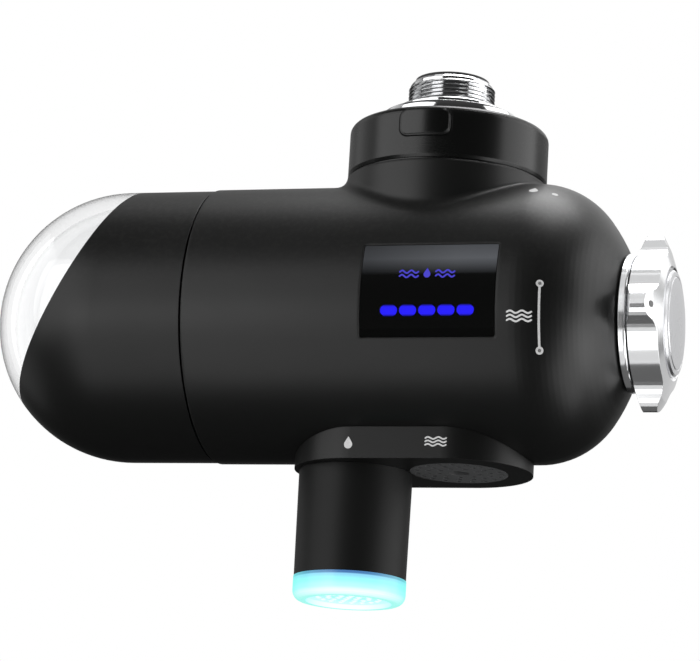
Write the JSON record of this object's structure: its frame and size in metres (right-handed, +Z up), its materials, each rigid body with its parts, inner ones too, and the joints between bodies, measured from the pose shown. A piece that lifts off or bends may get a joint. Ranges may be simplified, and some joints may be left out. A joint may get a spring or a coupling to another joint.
{
  "type": "faucet mount water filter",
  "caption": "Horizontal faucet mount water filter with swivel adapter, clear domed cartridge cap, life display, selector knob, spray outlet and light-up spout.",
  "frame": {"origin": "on the neck's upright axis, at the step of the adapter where the faucet's mouth seats, at the foot of the male thread", "axes": "+Z up along the adapter's thread, +X along the housing towards the selector knob, -Y the front with the display"},
  "size_m": [0.1766, 0.07, 0.1343],
  "materials": {
    "plated_metal": "bright plated, slightly brushed",
    "satin_metal": "satin plated",
    "steel_mesh": "fine mesh",
    "steel_pin": "bright steel",
    "gland_brass": "turned",
    "washer_rubber": "matt",
    "seal_rubber": "matt",
    "body_plastic": "soft satin black",
    "shell_plastic": "soft satin black",
    "collar_plastic": "satin black",
    "base_plastic": "satin black",
    "spray_plastic": "satin black",
    "spout_plastic": "satin black",
    "inner_plastic": "moulded grey",
    "white_plastic": "moulded white",
    "shower_plastic": "moulded white",
    "lens_plastic": "glossy smoked",
    "board": "lacquered",
    "life_light": "lit blue",
    "tip_plastic": "frosted, lit cyan",
    "coil_body": "potted winding",
    "cartridge_plastic": "moulded white",
    "carbon": "porous",
    "clear_plastic": "clear polished",
    "turbine_plastic": "moulded",
    "magnet": "sintered"
  },
  "bodies": {
    "adapter": {"faucet_adapter": "plated_metal", "adapter_washer": "washer_rubber", "inlet_strainer": "steel_mesh", "adapter_seal": "seal_rubber"},
    "housing": {"main_housing": "body_plastic", "collar": "collar_plastic", "inlet_socket": "inner_plastic", "valve_body": "inner_plastic", "valve_gland": "gland_brass", "display_lens": "lens_plastic", "display_board": "board", "display_lights": "life_light", "outlet_base": "base_plastic", "spray_plate": "spray_plastic", "spout_tube": "spout_plastic", "flow_guide": "white_plastic", "turbine_axle": "steel_pin", "generator_coil": "coil_body", "led_ring": "board", "light_tip": "tip_plastic", "shower_plate": "shower_plastic", "knob_base": "plated_metal", "cartridge_cage": "cartridge_plastic", "carbon_block": "carbon", "cartridge_cap": "cartridge_plastic", "cartridge_seal": "seal_rubber", "latch_spring": "steel_pin"},
    "button": {"release_button": "collar_plastic", "latch_plate": "steel_pin"},
    "selector": {"knob_handle": "plated_metal", "knob_face": "satin_metal", "knob_screw": "steel_pin", "valve_spindle": "white_plastic", "spindle_seals": "seal_rubber"},
    "cap_ring": {"cap_seal": "seal_rubber"},
    "cap": {"clear_dome": "clear_plastic", "cap_shell": "shell_plastic"},
    "turbine": {"turbine_wheel": "turbine_plastic", "rotor_magnet": "magnet"}
  },
  "joints": [
    {"name": "swivel", "type": "hinge", "parent": "adapter", "child": "housing", "pos_m": [0, 0, 0], "axis": [0, 0, 1], "continuous": true},
    {"name": "button_press", "type": "slide", "parent": "housing", "child": "button", "axis": [0, 1, 0], "range_m": [0, 0.0019], "stiffness_N_per_m": 900, "springref_m": -0.002, "deforming": ["latch_spring"]},
    {"name": "selector_turn", "type": "hinge", "parent": "housing", "child": "selector", "pos_m": [0, 0, -0.056], "axis": [-1, 0, 0], "range_deg": [-26, 52]},
    {"name": "cap_slide", "type": "slide", "parent": "housing", "child": "cap_ring", "axis": [-1, 0, 0], "range_m": [0, 0.008]},
    {"name": "cap_turn", "type": "hinge", "parent": "cap_ring", "child": "cap", "pos_m": [-0.07, 0, -0.056], "axis": [-1, 0, 0], "range_deg": [0, 720]},
    {"name": "turbine_spin", "type": "hinge", "parent": "housing", "child": "turbine", "pos_m": [-0.0195, 0, -0.1], "axis": [0, 0, 1], "continuous": true}
  ],
  "couplings": [
    {"joint": "cap_slide", "follows": "cap_turn", "m_per_rad": 0.0006366}
  ]
}
